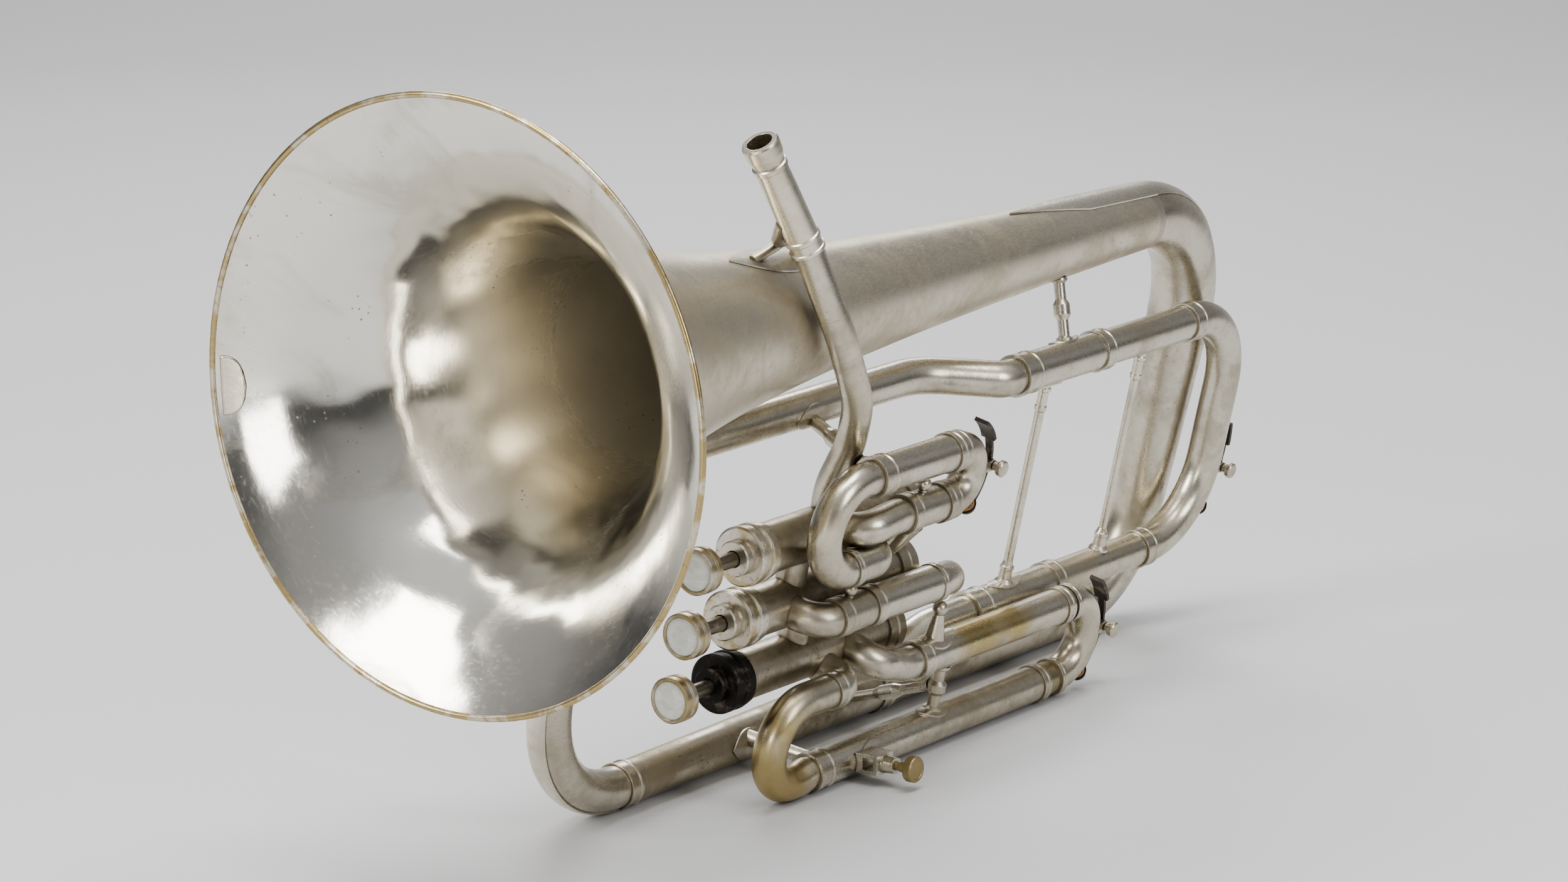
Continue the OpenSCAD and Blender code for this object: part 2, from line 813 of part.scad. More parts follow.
module slide_3_bow() {
    color("silver") {
        difference() {
            union() {
                slide_bow([slide_y, s3_z_high, s3_x_high + 6], [slide_y, s3_z_low, 330], key_3[0]);
                key_seat(key_3);
            }
            key_drain(key_3);
        }
        key_screw(key_3);
    }
}

module main_slide_legs() {
    color("silver")
        for (z = [main_z_high, main_z_low])
            tube([main_leg_x0, main_y, z], [main_bow_x0, main_y, z], main_ri, main_ri - wall);
}

module main_slide_bow() {
    color("silver") {
        difference() {
            union() {
                pipe([[main_bow_x0, main_y, main_z_high], [main_bow_x, main_y, main_z_high],
                    [main_bow_x, main_y, main_z_low], [main_bow_x0, main_y, main_z_low]],
                    [main_turn, main_turn], main_ri + 0.15, main_ri + 0.15 - wall);
                for (z = [main_z_high, main_z_low])
                    ferrule(main_bow_x0 - 9, main_y, z, 10, main_ri + 1.2, main_ri);
                key_seat(key_main);
            }
            key_drain(key_main);
        }
        key_screw(key_main);
    }
}

// Thin stay between two tubes at heights z0 and z1, with sockets at both ends
module long_stay(x, y, z0, z1, r) {
    l = z1 - z0;
    translate([x, y, z0])
        rotate_extrude()
            polygon([[0, 0], [5.4, 0], [5, 1.4], [3.6, 3], [3.2, 8], [3.7, 8.4], [3.7, 10], [3, 10.6],
                [r, 13], [r, l - 16], [3.2, l - 15], [3.2, l - 13], [2.7, l - 12.4], [2.7, l - 5],
                [3.4, l - 4.4], [3.4, l - 2.8], [3, l - 2.2], [3.4, l], [0, l]]);
}

module main_slide_stay() {
    color("silver")
        difference() {
            long_stay(main_stay_x, main_y, main_z_low + main_ri - 1, main_z_high - main_ri + 0.6, 2.1);
            for (z = [main_z_high, main_z_low])
                bar([main_stay_x - 10, main_y, z], [main_stay_x + 10, main_y, z], main_ri);
        }
}

module main_slide_rod() {
    color("silver")
        difference() {
            union() {
                long_stay(main_rod_x, main_y, main_z_low + main_ro - 1, main_z_high - main_ro + 0.6, 2.5);
                saddle_plate(main_rod_x, main_y, main_z_low, main_ro, 30, 12, 0);
                saddle_plate(main_rod_x, main_y, main_z_high, main_ro, 30, 12, 180);
            }
            for (z = [main_z_high, main_z_low])
                bar([main_rod_x - 30, main_y, z], [main_rod_x + 30, main_y, z], main_ro);
        }
}

// ---------- stays ----------

module bell_post() {
    foot = [472, -26, -44];
    head = [476, -12.6, -14.8];
    color("silver")
        difference() {
            union() {
                turned_post(foot, head, 2.9, 4.4);
                saddle_plate(472, main_y, main_z_high, main_ro, 26, 12, -30);
            }
            bar([450, main_y, main_z_high], [490, main_y, main_z_high], main_ro);
            bell_skin(-6, 0);
        }
}

// Post from the forward tube past the leadpipe to the first valve slide
module front_post() {
    past = unit(lead[4] - lead[5]);
    color("silver")
        difference() {
            union() {
                turned_post([280, -6, -56], [268, -50, -62.5], 3.4, 4.6);
                saddle_plate(280, 0, forward_z, forward_r, 30, 14, 98);
            }
            bar([250, 0, forward_z], [310, 0, forward_z], forward_r);
            bar(lead[4] + 8 * past, lead[5], 7.8);
            bar([250, slide_y, s1_z_high], [290, slide_y, s1_z_high], slide_ro + 1);
        }
}

module valve_stays() {
    low_1 = s1_z_low - slide_ro;
    color("silver") {
        difference() {
            union() {
                bar([264.5, slide_y, s2_z + slide_ro - 1], [264.5, slide_y, s1_z_stub - crook_r + 0.5], 2.2);
                translate([264.5, slide_y, -123.8])
                    sphere(r = 3.4);
            }
            bar([250, slide_y, s2_z], [280, slide_y, s2_z], slide_ro);
            bar([250, slide_y, s1_z_stub], [280, slide_y, s1_z_stub], crook_r);
        }
        difference() {
            union() {
                bar([312, slide_y, s1_z_low], [312, slide_y, s1_z_high], 2.2);
                translate([312, slide_y, (s1_z_low + s1_z_high) / 2])
                    sphere(r = 3.6);
            }
            for (z = [s1_z_low, s1_z_high])
                bar([300, slide_y, z], [330, slide_y, z], slide_ro);
        }
        difference() {
            union() {
                bar([312, slide_y + 2, low_1 + 1.5], [312, -43.5, -121.5], 6, 3.2);
                bar([312, -43.5, -121.5], [312, valve_y - 6, -130], 3.2, 4.6);
            }
            bar([290, slide_y, s1_z_low], [330, slide_y, s1_z_low], slide_ro);
            bar([290, valve_y, valve_z[1]], [330, valve_y, valve_z[1]], casing_r);
        }
        difference() {
            union() {
                bar([351, slide_y, s3_z_high + slide_ro - 1], [351, slide_y, -156.5], 5.2, 2.6);
                translate([351, slide_y, -153.5])
                    sphere(r = 3.9);
                saddle_plate(351, slide_y, s3_z_high, slide_ro, 34, 15, 0);
            }
            bar([330, slide_y, s3_z_high], [372, slide_y, s3_z_high], slide_ro);
            bar([330, slide_y, s3_z_high], [343.1, slide_y, s3_z_high], slide_ro + 1);
        }
        difference() {
            union() {
                turned_post([363, slide_y, s3_z_low + slide_ro - 0.6],
                    [363, slide_y, s3_z_high - slide_ro + 0.6], 3, 4.8);
                saddle_plate(363, slide_y, s3_z_low, slide_ro, 26, 13, 0);
            }
            for (z = [s3_z_low, s3_z_high])
                bar([345, slide_y, z], [380, slide_y, z], slide_ro);
        }
    }
}

function return_r(x) = top_bow_r + (bow_r_small - top_bow_r) * (x - return_x0) / (return_x1 - return_x0);
function return_z(x) = -top_drop + (top_drop - bottom_drop) * (x - return_x0) / (return_x1 - return_x0);

module return_tube_brace() {
    color("silver")
        difference() {
            union() {
                bar([278, -6, -227], [278, slide_y + 6, -222], 4.2, 3.4);
                saddle_plate(278, 0, return_z(278), return_r(278), 32, 16, 78);
                turned_post([363, -8, -226], [363, slide_y + 3.6, -200], 2.6, 3.9);
            }
            tube([return_x0, 0, -top_drop], [return_x1, 0, -bottom_drop], top_bow_r, 0.1,
                bow_r_small, 0.1);
            bar([260, slide_y, s3_z_low], [300, slide_y, s3_z_low], slide_ro);
            bar([363, slide_y, -212], [363, slide_y, -186], 4.85);
        }
}

module ferrules() {
    color("silver") {
        lipped_ferrule(main_outer_x0, main_y, main_z_high, 11, main_ro + 1, main_ro, forward_r);
        lipped_ferrule(main_outer_x0, main_y, main_z_low, 11, main_ro + 1, main_ro, outlet_r);
        lipped_ferrule(s1_x0, slide_y, s1_z_high, 8, slide_ro + 1, slide_ro, crook_r);
        ferrule(257, slide_y, s1_z_stub, 5, crook_r + 1, crook_r);
        lipped_ferrule(s1_x0_low, slide_y, s1_z_low, 5, slide_ro + 0.8, slide_ro, crook_r);
        for (z = [s1_z_high, s1_z_low])
            ferrule(s1_x1 - 6, slide_y, z, 6, slide_ro + 1, slide_ro);
        lipped_ferrule(s2_x0, slide_y, s2_z, 6, slide_ro + 0.6, slide_ro, crook_r);
        lipped_ferrule(s2_x0_back, s2_back_y, s2_back_z, 6, slide_ro + 0.6, slide_ro, crook_r);
        ferrule(s2_x1 - 8, slide_y, s2_z, 8, slide_ro + 1, slide_ro);
        lipped_ferrule(s3_x_high, slide_y, s3_z_high, 6, slide_ro + 0.8, slide_ro, crook_r);
        ferrule(s3_x1_high - 6, slide_y, s3_z_high, 6, slide_ro + 0.8, slide_ro);
        ferrule(s3_x1_low - 6, slide_y, s3_z_low, 6, slide_ro + 0.8, slide_ro);
        lipped_ferrule(s3_x0, slide_y, s3_z_low, 9, slide_ro + 0.8, slide_ro, crook_r);
        ferrule(s3_x0 + 1, slide_y, s3_z_stub, 8, crook_r + 1, crook_r);
        ferrule(392, 0, return_z(397), 10, return_r(402) + 1, return_r(402));
        ferrule(return_x0 - 3, 0, -top_drop, 9, top_bow_r + 1, top_bow_r + 0.1);
        ferrule(forward_x0, 0, forward_z, 9, top_bow_r + 0.6, forward_r);
    }
}

// ---------- lyre holder ----------

lyre_x = 292;
lyre_out = 16;

// Frame on the lower tube of slide 3; -Y points level, away from the tube
module lyre_frame() {
    translate([lyre_x, slide_y, s3_z_low])
        rotate([-lean, 0, 0])
            children();
}

module lyre_holder() {
    color("silver")
        lyre_frame()
            difference() {
                union() {
                    saddle_plate(12, 0, 0, slide_ro, 34, 15, 90);
                    translate([-5, -lyre_out - 5.5, -5])
                        cube([14, 12.6, 10]);
                    translate([2, -lyre_out - 5.4, 0])
                        rotate([90, 0, 0])
                            cylinder(h = 7, r1 = 4.6, r2 = 4);
                }
                rotate([0, 90, 0])
                    cylinder(h = 80, r = slide_ro, center = true);
                translate([-10, -lyre_out - 3.2, -3.1])
                    cube([30, 6.4, 6.2]);
                translate([2, -lyre_out, 0])
                    rotate([90, 0, 0])
                        cylinder(h = 30, r = 2.1);
            }
}

module lyre_thumbscrew() {
    color("darkgoldenrod")
        lyre_frame()
            translate([2, -lyre_out - 3.6, 0])
                rotate([90, 0, 0])
                    rotate_extrude()
                        polygon([[0, 0], [2.05, 0], [2.05, 11], [2.6, 11.6], [2.6, 15], [4, 16], [6.2, 16.4],
                            [6.5, 17], [6.5, 20.4], [6.1, 21], [5, 21.2], [4.6, 20.8], [0, 20.8]]);
}

// Lays the instrument down with its lowest points on the floor
module laid() {
    translate([-mid_x, -mid_y, floor_drop])
        rotate([lean, 0, 0])
            children();
}

laid() bell();
laid() bell_rim_wire();
laid() bottom_bow();
laid() bottom_bow_guard();
laid() return_tube();
laid() top_bow();
laid() top_bow_guard();
laid() forward_tube();
laid() main_outer_tubes();
laid() valve_3_outlet();
laid() receiver();
laid() leadpipe();
laid() receiver_bracket();
laid() valve_casing(0);  // valve_casing_1
laid() valve_casing(1);  // valve_casing_2
laid() valve_casing(2);  // valve_casing_3
laid() top_cap(0);  // top_cap_1
laid() top_cap(1);  // top_cap_2
laid() top_cap(2);  // top_cap_3
laid() bottom_caps();
laid() valve_knuckles();
laid() slide_1_branches();
laid() slide_1_outer_tubes();
laid() slide_2_branches();
laid() slide_2_outer_tubes();
laid() slide_3_branches();
laid() slide_3_outer_tubes();
laid() bell_post();
laid() main_slide_rod();
laid() front_post();
laid() valve_stays();
laid() return_tube_brace();
laid() ferrules();
laid() lyre_holder();
laid() lyre_thumbscrew();
laid() piston(0);  // piston_1
laid() piston(1);  // piston_2
laid() piston(2);  // piston_3
laid() finger_button(0);  // finger_button_1
laid() finger_button(1);  // finger_button_2
laid() finger_button(2);  // finger_button_3
laid() pearl(0);  // pearl_1
laid() pearl(1);  // pearl_2
laid() pearl(2);  // pearl_3
laid() valve_spring(0);  // valve_spring_1
laid() valve_spring(1);  // valve_spring_2
laid() valve_spring(2);  // valve_spring_3
laid() main_slide_legs();
laid() main_slide_bow();
laid() main_slide_stay();
laid() slide_1_bow();
laid() slide_2_bow();
laid() slide_3_bow();
laid() water_key_main();
laid() water_key_1();
laid() water_key_3();
laid() water_key_cork_main();
laid() water_key_cork_1();
laid() water_key_cork_3();
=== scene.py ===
import math

import bpy
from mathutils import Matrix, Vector, noise


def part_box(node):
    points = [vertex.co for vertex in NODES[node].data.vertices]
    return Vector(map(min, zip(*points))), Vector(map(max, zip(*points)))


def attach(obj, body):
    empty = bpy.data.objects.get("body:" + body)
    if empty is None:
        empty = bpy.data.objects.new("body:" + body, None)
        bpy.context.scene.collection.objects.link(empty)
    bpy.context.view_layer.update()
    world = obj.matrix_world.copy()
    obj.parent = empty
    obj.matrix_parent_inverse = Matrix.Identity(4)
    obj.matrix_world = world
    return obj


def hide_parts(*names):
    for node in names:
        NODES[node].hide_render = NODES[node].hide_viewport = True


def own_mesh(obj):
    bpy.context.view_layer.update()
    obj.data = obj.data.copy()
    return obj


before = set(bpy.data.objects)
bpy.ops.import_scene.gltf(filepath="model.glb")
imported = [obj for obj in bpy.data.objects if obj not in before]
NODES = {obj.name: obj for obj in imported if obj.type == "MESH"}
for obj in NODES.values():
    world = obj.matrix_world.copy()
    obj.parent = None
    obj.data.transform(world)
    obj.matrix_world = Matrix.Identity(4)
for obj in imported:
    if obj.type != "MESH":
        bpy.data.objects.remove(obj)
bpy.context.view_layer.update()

SCENE = bpy.context.scene
BELL_LO, BELL_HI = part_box("bell")
AXIS_Z = (BELL_LO.z + BELL_HI.z) / 2
MOUTH_X = BELL_LO.x
BELL_LEN = BELL_HI.x - BELL_LO.x
SHEET = 0.0009

# The bell's profile, in millimetres from the mouth
MOUTH_RADIUS = 140
FLARE = 51.5
FLARE_POWER = 0.8
TAPER = 0.003

# Where the photograph was taken from, and which way the camera looks
CAMERA_AT = (-2.092564, -1.467872, 0.757033)
CAMERA_LOOKS = (0.787099, 0.573681, -0.226638)
CAMERA_LENS = 122.4


# ---------- materials ----------

class Graph:
    """A material and short calls for its nodes."""

    def __init__(self, name):
        self.mat = bpy.data.materials.new(name)
        self.mat.use_nodes = True
        self.t = self.mat.node_tree
        self.t.nodes.clear()
        self.out = self.t.nodes.new("ShaderNodeOutputMaterial")
        self.p = self.t.nodes.new("ShaderNodeBsdfPrincipled")
        self.t.links.new(self.p.outputs[0], self.out.inputs[0])
        self.co = self.t.nodes.new("ShaderNodeTexCoord").outputs["Object"]

    def put(self, socket, value):
        if isinstance(value, bpy.types.NodeSocket):
            self.t.links.new(value, socket)
        else:
            socket.default_value = value

    def scaled(self, scale):
        m = self.t.nodes.new("ShaderNodeMapping")
        m.inputs["Scale"].default_value = scale
        self.put(m.inputs["Vector"], self.co)
        return m.outputs[0]

    def noise(self, scale, detail=6.0, rough=0.55, distortion=0.0, stretch=None):
        n = self.t.nodes.new("ShaderNodeTexNoise")
        self.put(n.inputs["Vector"], self.scaled(stretch) if stretch else self.co)
        n.inputs["Scale"].default_value = scale
        n.inputs["Detail"].default_value = detail
        n.inputs["Roughness"].default_value = rough
        n.inputs["Distortion"].default_value = distortion
        return n.outputs["Fac"]

    def cells(self, scale):
        n = self.t.nodes.new("ShaderNodeTexVoronoi")
        self.put(n.inputs["Vector"], self.co)
        n.inputs["Scale"].default_value = scale
        return n.outputs["Distance"]

    def step(self, value, lo, hi, a=0.0, b=1.0):
        n = self.t.nodes.new("ShaderNodeMapRange")
        n.interpolation_type = "SMOOTHSTEP"
        self.put(n.inputs["Value"], value)
        n.inputs["From Min"].default_value = lo
        n.inputs["From Max"].default_value = hi
        n.inputs["To Min"].default_value = a
        n.inputs["To Max"].default_value = b
        return n.outputs[0]

    def math(self, op, a, b=0.0, c=0.0):
        n = self.t.nodes.new("ShaderNodeMath")
        n.operation = op
        for i, v in enumerate((a, b, c)):
            self.put(n.inputs[i], v)
        return n.outputs[0]

    def mix(self, fac, a, b):
        n = self.t.nodes.new("ShaderNodeMix")
        n.data_type = "RGBA"
        self.put(n.inputs["Factor"], fac)
        self.put(n.inputs[6], (*a, 1) if isinstance(a, tuple) else a)
        self.put(n.inputs[7], (*b, 1) if isinstance(b, tuple) else b)
        return n.outputs[2]

    def xyz(self):
        n = self.t.nodes.new("ShaderNodeSeparateXYZ")
        self.put(n.inputs[0], self.co)
        return n.outputs

    def ball(self, centre, r_in, r_out):
        """1 within r_in of a point, 0 beyond r_out, with a ragged edge."""
        d = self.t.nodes.new("ShaderNodeVectorMath")
        d.operation = "DISTANCE"
        self.put(d.inputs[0], self.co)
        d.inputs[1].default_value = centre
        ragged = self.math("MULTIPLY_ADD", self.noise(140, 5), 0.018, d.outputs["Value"])
        return self.step(ragged, r_in + 0.009, r_out + 0.009, 1.0, 0.0)

    def bump(self, height, strength, distance, under=None):
        n = self.t.nodes.new("ShaderNodeBump")
        n.inputs["Strength"].default_value = strength
        n.inputs["Distance"].default_value = distance
        self.put(n.inputs["Height"], height)
        if under is not None:
            self.put(n.inputs["Normal"], under)
        return n.outputs[0]

    def crevice_shade_and_grime(self, reach):
        """Near 1 in corners and grooves, where polish and dirt stay behind and where shade falls: grime
        and painted shade from ambient occlusion.
        """
        n = self.t.nodes.new("ShaderNodeAmbientOcclusion")
        n.samples = 5
        n.inputs["Distance"].default_value = reach
        return self.step(n.outputs["AO"], 0.30, 0.80, 0.85, 0.0)

    def rounded(self, radius):
        n = self.t.nodes.new("ShaderNodeBevel")
        n.samples = 4
        n.inputs["Radius"].default_value = radius
        return n.outputs[0]


def plated(name, silver=(0.64, 0.60, 0.51), dull=(0.32, 0.275, 0.20), rough=0.24, tarnish=0.5,
           speck=0.5, brass=(), bare_to=None, waves=0.25):
    """Old silver plate: cloudy tarnish, black specks, fine scratches, grime and painted shade in the
    corners.

    brass lists balls (centre, inner radius, outer radius) where it has worn through. The metal is bare
    up to the place bare_to along X, if there is one.
    """
    g = Graph(name)
    cloud = g.noise(26, 8, 0.62, 0.6)
    fine = g.noise(210, 6, 0.6)
    stain = g.step(g.math("MULTIPLY_ADD", fine, 0.35, cloud), 0.62 - 0.12 * tarnish, 0.98 - 0.18 * tarnish)
    stain = g.math("MULTIPLY", stain, min(1.0, tarnish * 1.25))
    color = g.mix(stain, silver, dull)
    warm = g.step(g.noise(9, 3), 0.42, 0.7, 0.0, 0.4)
    color = g.mix(warm, color, (0.53, 0.465, 0.34))
    specks = g.step(g.cells(330), 0.10, 0.20, 1.0, 0.0)
    patchy = g.step(g.noise(34, 4), 0.50, 0.66)
    specks = g.math("MULTIPLY", g.math("MULTIPLY", specks, patchy), speck)
    color = g.mix(specks, color, (0.10, 0.085, 0.06))
    rub = None
    for centre, r_in, r_out in brass:
        spot = g.ball(centre, r_in, r_out)
        rub = spot if rub is None else g.math("MAXIMUM", rub, spot)
    if rub is not None:
        worn = g.math("MULTIPLY", rub, g.step(g.noise(60, 6), 0.28, 0.55, 0.45, 1.0))
        color = g.mix(worn, color, (0.47, 0.375, 0.185))
    if bare_to is not None:
        bare = g.step(g.xyz()[0], bare_to - 0.0001, bare_to + 0.0001, 0.9, 0.0)
        color = g.mix(bare, color, g.mix(cloud, (0.22, 0.185, 0.095), (0.42, 0.36, 0.22)))
    # Ambient occlusion darkens the colour in corners and grooves: partly grime, partly painted shade.
    grime_and_shade = g.crevice_shade_and_grime(0.0032)
    color = g.mix(grime_and_shade, color, (0.075, 0.062, 0.042))
    scratch = g.noise(60, 4, 0.6, 0.0, (6.0, 40.0, 40.0))
    r = g.math("MULTIPLY_ADD", stain, 0.2, rough)
    r = g.math("MULTIPLY_ADD", grime_and_shade, 0.25, r)
    r = g.math("MULTIPLY_ADD", g.step(scratch, 0.45, 0.7), 0.09, r)
    r = g.math("MULTIPLY_ADD", specks, 0.3, r)
    g.put(g.p.inputs["Base Color"], color)
    g.put(g.p.inputs["Roughness"], r)
    g.p.inputs["Metallic"].default_value = 1.0
    normal = g.rounded(0.0004)
    normal = g.bump(g.noise(38, 3, 0.5), waves, 0.0011, normal)
    normal = g.bump(fine, 0.12, 0.0004, normal)
    normal = g.bump(g.math("SUBTRACT", scratch, specks), 0.10, 0.0003, normal)
    g.put(g.p.inputs["Normal"], normal)
    return g.mat


def bell_inside():
    """Polished throat and flare: bright, with clouds of grey, a yellow throat and dark pits."""
    g = Graph("silver_bell_inside")
    x = g.xyz()[0]
    depth = g.math("SUBTRACT", x, MOUTH_X)
    cloud = g.noise(13, 7, 0.6, 0.9)
    fine = g.noise(260, 6, 0.6)
    throat = g.step(depth, 0.035, 0.13)
    yellow = g.math("MULTIPLY", throat, g.step(cloud, 0.30, 0.62, 0.55, 1.0))
    color = g.mix(yellow, (0.755, 0.73, 0.665), (0.84, 0.795, 0.69))
    haze = g.math("MULTIPLY", g.step(cloud, 0.50, 0.68), 0.55)
    color = g.mix(haze, color, (0.46, 0.425, 0.35))
    specks = g.step(g.cells(260), 0.08, 0.19, 1.0, 0.0)
    specks = g.math("MULTIPLY", specks, g.step(g.noise(30, 5), 0.53, 0.66))
    color = g.mix(g.math("MULTIPLY", specks, 0.75), color, (0.16, 0.13, 0.09))
    scratch = g.noise(34, 5, 0.6, 0.4, (30.0, 7.0, 7.0))
    g.put(g.p.inputs["Base Color"], color)
    r = g.math("MULTIPLY_ADD", haze, 0.26, 0.115)
    r = g.math("MULTIPLY_ADD", g.step(depth, 0.05, 0.2), 0.26, r)
    r = g.math("MULTIPLY_ADD", g.step(scratch, 0.48, 0.72), 0.05, r)
    r = g.math("MULTIPLY_ADD", specks, 0.3, r)
    g.put(g.p.inputs["Roughness"], r)
    g.p.inputs["Metallic"].default_value = 1.0
    normal = g.bump(g.noise(30, 2, 0.5), 0.10, 0.0016)
    normal = g.bump(fine, 0.04, 0.0003, normal)
    normal = g.bump(scratch, 0.05, 0.0003, normal)
    g.put(g.p.inputs["Normal"], normal)
    return g.mat


def brassy(name, share, rough, color=(0.44, 0.345, 0.18), other=(0.60, 0.545, 0.43)):
    """Brass that keeps a share of its plating."""
    g = Graph(name)
    cloud = g.noise(70, 6, 0.6, 0.3)
    fine = g.noise(420, 5, 0.6)
    plate = g.step(cloud, 0.62 - 0.24 * share, 0.72 - 0.24 * share)
    c = g.mix(plate, color, other)
    c = g.mix(g.step(fine, 0.58, 0.74, 0.0, 0.7), c, (0.16, 0.11, 0.055))
    g.put(g.p.inputs["Base Color"], c)
    g.put(g.p.inputs["Roughness"], g.math("MULTIPLY_ADD", fine, 0.22, rough - 0.06))
    g.p.inputs["Metallic"].default_value = 1.0
    g.put(g.p.inputs["Normal"], g.bump(fine, 0.22, 0.0003, g.rounded(0.0003)))
    return g.mat


def dark_metal(name, color, worn, rough):
    """Dark metal rubbed lighter in places."""
    g = Graph(name)
    cloud = g.noise(120, 7, 0.65)
    fine = g.noise(700, 4, 0.6)
    c = g.mix(g.step(cloud, 0.52, 0.70), color, worn)
    g.put(g.p.inputs["Base Color"], c)
    g.put(g.p.inputs["Roughness"], g.math("MULTIPLY_ADD", fine, 0.25, rough - 0.1))
    g.p.inputs["Metallic"].default_value = 1.0
    g.put(g.p.inputs["Normal"], g.bump(fine, 0.3, 0.0003, g.rounded(0.0003)))
    return g.mat


def pearly():
    """Mother of pearl, in cloudy layers."""
    g = Graph("mother_of_pearl")
    layer = g.noise(90, 5, 0.6, 1.6, (1.0, 1.0, 2.2))
    c = g.mix(g.step(layer, 0.35, 0.65), (0.90, 0.89, 0.84), (0.74, 0.775, 0.72))
    c = g.mix(g.step(g.noise(420, 5), 0.60, 0.74, 0.0, 0.35), c, (0.52, 0.50, 0.42))
    g.put(g.p.inputs["Base Color"], c)
    g.put(g.p.inputs["Roughness"], g.step(layer, 0.3, 0.7, 0.14, 0.26))
    g.p.inputs["Subsurface Weight"].default_value = 0.15
    g.p.inputs["Subsurface Scale"].default_value = 0.002
    g.p.inputs["Coat Weight"].default_value = 0.4
    g.put(g.p.inputs["Normal"], g.bump(layer, 0.08, 0.0004))
    return g.mat


def corky():
    """Cork, with dark pores."""
    g = Graph("natural_cork")
    grain = g.cells(1500)
    c = g.mix(g.step(grain, 0.15, 0.5), (0.17, 0.085, 0.035), (0.47, 0.28, 0.13))
    g.put(g.p.inputs["Base Color"], c)
    g.put(g.p.inputs["Roughness"], g.step(grain, 0.1, 0.6, 0.95, 0.75))
    g.put(g.p.inputs["Normal"], g.bump(grain, 0.5, 0.0004, g.rounded(0.0003)))
    return g.mat


crook_3_lo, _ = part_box("slide_3_branches")
bow_2_lo, bow_2_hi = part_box("slide_2_bow")
tubes_3_lo, tubes_3_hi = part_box("slide_3_outer_tubes")
_, tubes_1_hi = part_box("slide_1_outer_tubes")

SILVER = plated("silver_tubing")
SILVER_DULL = plated("silver_dull", silver=(0.54, 0.50, 0.42), rough=0.29, tarnish=0.8, speck=0.95)
SILVER_BRIGHT = plated("silver_bright", silver=(0.78, 0.735, 0.635), rough=0.24, tarnish=0.35, speck=0.4)
BELL_OUT = plated("silver_bell_outside", silver=(0.70, 0.65, 0.545), dull=(0.47, 0.41, 0.305), rough=0.33,
                  tarnish=0.55, speck=0.45, waves=0.12)
BELL_IN = bell_inside()
CROOK_3 = plated("silver_crook_worn", tarnish=0.6,
                 brass=[((crook_3_lo.x + 0.004, crook_3_lo.y + 0.016, crook_3_lo.z + 0.018), 0.022, 0.05)])
BOW_2 = plated("silver_bow_worn", rough=0.24, tarnish=0.35,
               brass=[((bow_2_hi.x - 0.008, bow_2_lo.y + 0.020, bow_2_hi.z - 0.018), 0.010, 0.030)])
TUBE_3 = plated("silver_slide_worn", tarnish=0.6,
                brass=[((tubes_3_hi.x - 0.082, tubes_3_lo.y + 0.006, tubes_3_hi.z - 0.004), 0.012, 0.034),
                       ((tubes_3_hi.x - 0.055, tubes_3_lo.y + 0.005, tubes_3_hi.z - 0.006), 0.006, 0.022)])
RIM = brassy("rim_wire_worn", share=0.62, rough=0.26)
BRASS = brassy("brass_bare", share=0.1, color=(0.36, 0.29, 0.155), rough=0.4)
BUTTON = brassy("button_rim", color=(0.45, 0.37, 0.225), other=(0.56, 0.52, 0.43), share=0.6, rough=0.3)
CAP = brassy("valve_cap", color=(0.50, 0.42, 0.26), other=(0.63, 0.59, 0.51), share=0.95, rough=0.25)
BLACK = dark_metal("cap_blackened", color=(0.035, 0.032, 0.03), worn=(0.16, 0.14, 0.12), rough=0.45)
STEEL = dark_metal("steel_oxidised", color=(0.085, 0.075, 0.065), worn=(0.34, 0.29, 0.22), rough=0.42)
PISTON = dark_metal("piston_metal", color=(0.20, 0.175, 0.14), worn=(0.42, 0.385, 0.33), rough=0.34)
BOW_1 = plated("silver_bow_1", bare_to=tubes_1_hi.x + 0.0006)
BOW_3 = plated("silver_bow_3", bare_to=tubes_3_hi.x + 0.0024)
PEARL = pearly()
CORK = corky()

LOOKS = {
    "bell": BELL_OUT, "bell_rim_wire": RIM, "bottom_bow": SILVER, "bottom_bow_guard": SILVER_BRIGHT,
    "return_tube": SILVER_DULL, "top_bow": SILVER, "top_bow_guard": SILVER_BRIGHT,
    "receiver": SILVER_BRIGHT, "leadpipe": SILVER, "bottom_caps": SILVER_DULL,
    "valve_casing_1": SILVER_DULL, "valve_casing_2": SILVER_DULL, "valve_casing_3": SILVER_DULL,
    "valve_knuckles": SILVER_DULL, "top_cap_1": CAP, "top_cap_2": CAP, "top_cap_3": BLACK,
    "slide_3_branches": CROOK_3, "slide_1_bow": BOW_1, "slide_2_bow": BOW_2, "slide_3_bow": BOW_3,
    "slide_3_outer_tubes": TUBE_3,
    "lyre_thumbscrew": BRASS, "main_slide_rod": SILVER_BRIGHT, "main_slide_stay": SILVER_BRIGHT,
}
for name, obj in NODES.items():
    if name in LOOKS:
        look = LOOKS[name]
    elif name.startswith("pearl"):
        look = PEARL
    elif name.startswith("finger_button"):
        look = BUTTON
    elif name.startswith("piston") or name.startswith("valve_spring"):
        look = PISTON
    elif name.startswith("water_key_cork"):
        look = CORK
    elif name.startswith("water_key"):
        look = STEEL
    else:
        look = SILVER
    obj.data.materials.clear()
    obj.data.materials.append(look)


# ---------- pieces built here ----------

def mesh_object(name, verts, faces, *materials):
    mesh = bpy.data.meshes.new(name)
    mesh.from_pydata(verts, [], faces)
    mesh.validate()
    mesh.update()
    for p in mesh.polygons:
        p.use_smooth = True
    obj = bpy.data.objects.new(name, mesh)
    SCENE.collection.objects.link(obj)
    for m in materials:
        mesh.materials.append(m)
    return obj


def bell_radius(x):
    mm = x * 1000
    return (MOUTH_RADIUS * (FLARE / (mm + FLARE)) ** FLARE_POWER - TAPER * mm) / 1000


